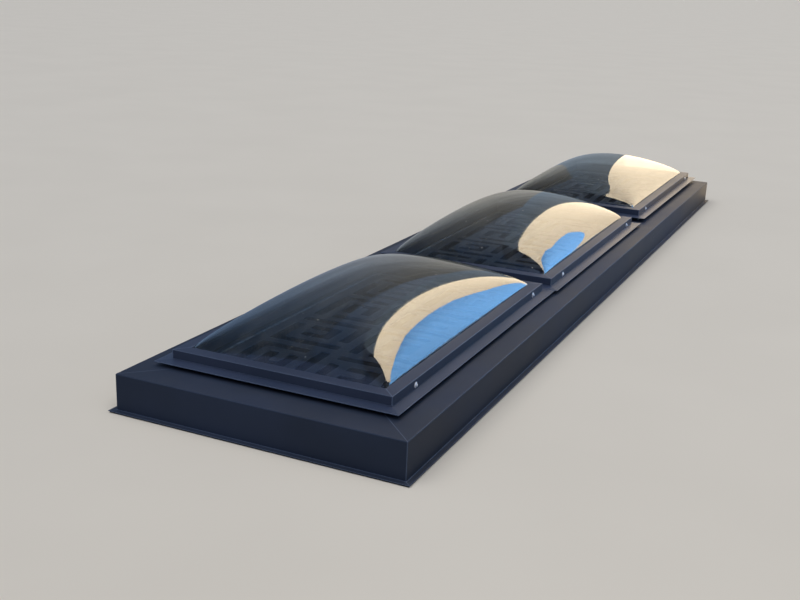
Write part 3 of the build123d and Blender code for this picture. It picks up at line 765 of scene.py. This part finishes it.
@dataclass
class Studio:
    """Pale floor, dark shafts under the openings, soft light, cards for the gloss, and the camera."""

    floor_half: float = 400.0
    floor_drop: float = 0.5 * MM
    shade_sheet_lift: float = 1 * MM
    floor: Plain = Plain("pale_studio_floor", "E2DACB", "E0D8C9")
    # Painted shade: black sheets inside the kerb stand in for the dark light shafts under the openings
    shaft_shade: Plain = Plain("black_painted_shaft_shade", "08090A", "0B0C0D", 0.9)
    surroundings: tuple[float, float, float] = (0.205, 0.245, 0.33)
    lamp_energy: float = 1.8
    lamp_spread: float = math.radians(80)
    lamp_colour: tuple[float, float, float] = (0.98, 0.98, 1.0)
    lamp_way: tuple[float, float, float] = (0.05, 0.24, -1.0)
    # Two grey cards stand along the left side, one on the other
    left_card_x: float = -0.75
    near_end: float = -3.1
    lower_card_top: float = 1.9
    upper_card_top: float = 3.4
    # A dark card hangs overhead
    overhead_half: float = 30.0
    overhead_z: float = 9.0
    # Beyond the far end a blue card stands before a pale one, and that before a shaded one
    far_card_y: float = 2.95
    card_gap: float = 0.02
    # x and z of the corners of these three
    shaded_outline: tuple[tuple[float, float], ...] = ((-2.4, 0.0), (0.2, 0.0), (0.2, 9.0), (-2.4, 9.0))
    pale_outline: tuple[tuple[float, float], ...] = (
        (-0.1, 0.0), (4.2, 0.0), (4.2, 5.0), (2.5, 9.0), (-1.6, 9.0), (-0.85, 5.4), (-0.5, 4.0),
        (-0.24, 2.8), (-0.12, 2.0),
    )
    blue_outline: tuple[tuple[float, float], ...] = (
        (1.6, 0.0), (4.2, 0.0), (4.2, 1.6), (3.9, 3.0), (3.3, 4.2), (2.6, 4.7), (1.5, 4.7), (1.0, 4.2),
        (1.03, 3.3), (1.06, 2.6), (1.16, 2.2), (1.25, 1.9), (1.17, 1.6), (1.14, 1.3), (1.3, 0.8),
    )
    # The camera's place, its tilt, roll and heading in radians, its lens and how far it sees
    place: tuple[float, float, float] = (1.8824, -5.6637, 1.6007)
    turn: tuple[float, float, float] = (-0.2968, -0.0387, 0.4316)
    lens: float = 47.59
    sight: float = 2000.0

    def build(self) -> None:
        """Builds the whole studio."""
        self.lay_floor()
        self.set_world()
        self.hang_lamp()
        self.stand_cards()
        self.set_camera()

    def sheet(self, name: str, corners: list[tuple[float, float, float]],
              material: bpy.types.Material) -> bpy.types.Object:
        """Makes one flat sheet that isn't part of the object.

        Args:
            name: Its name.
            corners: Its corners, in order.
            material: Its finish.

        Returns:
            The sheet.
        """
        form = bmesh.new()
        form.faces.new([form.verts.new(corner) for corner in corners])
        mesh = bpy.data.meshes.new(name)
        form.to_mesh(mesh)
        form.free()
        mesh.materials.append(material)
        laid = bpy.data.objects.new(name, mesh)
        bpy.context.scene.collection.objects.link(laid)
        return laid

    def level_sheet(self, name: str, low: tuple[float, float], high: tuple[float, float], z: float,
                    material: bpy.types.Material) -> None:
        """Lays one level sheet.

        Args:
            name: Its name.
            low: Its lowest x and y.
            high: Its highest x and y.
            z: Its height.
            material: Its finish.
        """
        corners = [(low[0], low[1], z), (high[0], low[1], z), (high[0], high[1], z), (low[0], high[1], z)]
        self.sheet(name, corners, material)

    def lay_floor(self) -> None:
        """Lays the floor, and a black sheet on it inside the kerb: painted shade that stands in for the
        dark light shafts below.
        """
        half = self.floor_half
        self.level_sheet("floor", (-half, -half), (half, half), -self.floor_drop, self.floor.build())
        shade_material = self.shaft_shade.build()
        for n in UNITS:
            low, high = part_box(f"screen_ledge_{n}")
            # Painted shade: a black sheet under each screen stands in for the dark shaft below
            self.level_sheet(f"painted_shade_sheet_{n}", (low.x, low.y), (high.x, high.y), self.shade_sheet_lift, shade_material)

    def set_world(self) -> None:
        """Sets soft, slightly cool surroundings."""
        world = bpy.data.worlds.new("soft_surroundings")
        bpy.context.scene.world = world
        world.use_nodes = True
        tree = world.node_tree
        tree.nodes.clear()
        background = add_node(tree, "ShaderNodeBackground", {0: (*self.surroundings, 1.0), 1: 1.0})
        output = tree.nodes.new("ShaderNodeOutputWorld")
        tree.links.new(background.outputs[0], output.inputs[0])

    def hang_lamp(self) -> None:
        """Hangs one very broad lamp above and a little to the near side, out of the gloss."""
        lamp = bpy.data.lights.new("broad_lamp", "SUN")
        lamp.energy = self.lamp_energy
        lamp.angle = self.lamp_spread
        lamp.color = self.lamp_colour
        hung = bpy.data.objects.new("broad_lamp", lamp)
        bpy.context.scene.collection.objects.link(hung)
        hung.rotation_euler = Vector(self.lamp_way).to_track_quat("-Z", "Y").to_euler()
        hung.visible_glossy = False
        hung.visible_transmission = False

    def stand_cards(self) -> None:
        """Stands the cards whose reflections the domes show."""
        wide = self.overhead_half
        far = self.far_card_y
        overhead = ((-wide, -wide), (wide, -wide), (wide, far), (-wide, far))
        cards = [
            ([(x, y, self.overhead_z) for x, y in overhead],
             SoftCard("dark_overhead_card", Way.ALONG, -6.0, -2.0, (0.26, 0.37, 0.70), (0.10, 0.12, 0.17))),
            (self.beside(0.0, self.lower_card_top),
             SoftCard("grey_card", Way.ALONG, -2.0, 1.0, (0.14, 0.21, 0.33), (0.41, 0.40, 0.37),
                      foot_gain=1.15, top_gain=0.65, top=2.0, band_depth=0.2)),
            (self.beside(self.lower_card_top, self.upper_card_top),
             SoftCard("upper_grey_card", Way.ALONG, -1.2, 0.5, (0.13, 0.21, 0.37), (0.36, 0.42, 0.52),
                      band_depth=0.15)),
            (self.upright(self.shaded_outline, far + 2 * self.card_gap),
             SoftCard("shaded_card", Way.ACROSS, -0.75, 0.1, (0.30, 0.37, 0.45), (0.36, 0.39, 0.41),
                      foot_gain=0.82, top_gain=1.4, top=4.0, band_depth=0.15)),
            (self.upright(self.pale_outline, far + self.card_gap),
             SoftCard("pale_card", Way.ACROSS, 0.0, 1.0, (3.45, 2.8, 1.97), (3.3, 2.65, 1.87),
                      foot_gain=0.7, top_gain=1.9)),
            (self.upright(self.blue_outline, far),
             SoftCard("blue_card", Way.ACROSS, 1.0, 2.2, (0.74, 1.64, 3.05), (1.0, 2.35, 4.4),
                      foot_gain=0.88, top_gain=1.18, top=3.0)),
        ]
        for corners, finish in cards:
            card = self.sheet(finish.name, corners, finish.build())
            card.visible_camera = False
            card.visible_diffuse = False
            card.visible_shadow = False

    def beside(self, foot: float, head: float) -> list[tuple[float, float, float]]:
        """Stands a card up along the left side.

        Args:
            foot: Height of its lower edge.
            head: Height of its upper edge.

        Returns:
            The corners in space.
        """
        x = self.left_card_x
        near = self.near_end
        far = self.far_card_y
        return [(x, near, foot), (x, far, foot), (x, far, head), (x, near, head)]

    def upright(self, outline: tuple[tuple[float, float], ...],
                y: float) -> list[tuple[float, float, float]]:
        """Stands an outline up across the kerb.

        Args:
            outline: x and z of each corner.
            y: Where it stands.

        Returns:
            The corners in space.
        """
        return [(x, y, z) for x, z in outline]

    def set_camera(self) -> None:
        """Sets the camera at the photograph's place and angle."""
        data = bpy.data.cameras.new("camera")
        data.lens = self.lens
        data.clip_end = self.sight
        camera = bpy.data.objects.new("camera", data)
        bpy.context.scene.collection.objects.link(camera)
        tilt, roll, heading = self.turn
        seen = Matrix.Rotation(heading, 4, "Z") @ Matrix.Rotation(tilt, 4, "X")
        seen = seen @ Matrix.Rotation(roll, 4, "Y")
        upright = Matrix.Rotation(math.pi / 2, 4, "X")
        camera.matrix_world = Matrix.Translation(self.place) @ seen @ upright
        bpy.context.scene.camera = camera
        bpy.context.scene.view_settings.view_transform = "Standard"


def main() -> None:
    """Builds and dresses the skylight, then the studio."""
    logging.basicConfig(level=logging.INFO, format="%(message)s")
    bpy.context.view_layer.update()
    KerbCladding().dress()
    RailFrame().dress()
    UnitFrames().dress()
    Screens().dress()
    ClampFasteners().build()
    acrylic = SmokedAcrylic("smoked_blown_acrylic", "B4BABD").build()
    for unit in UNITS:
        Dome(unit).build(acrylic)
    Studio().build()


if __name__ == "__main__":
    main()
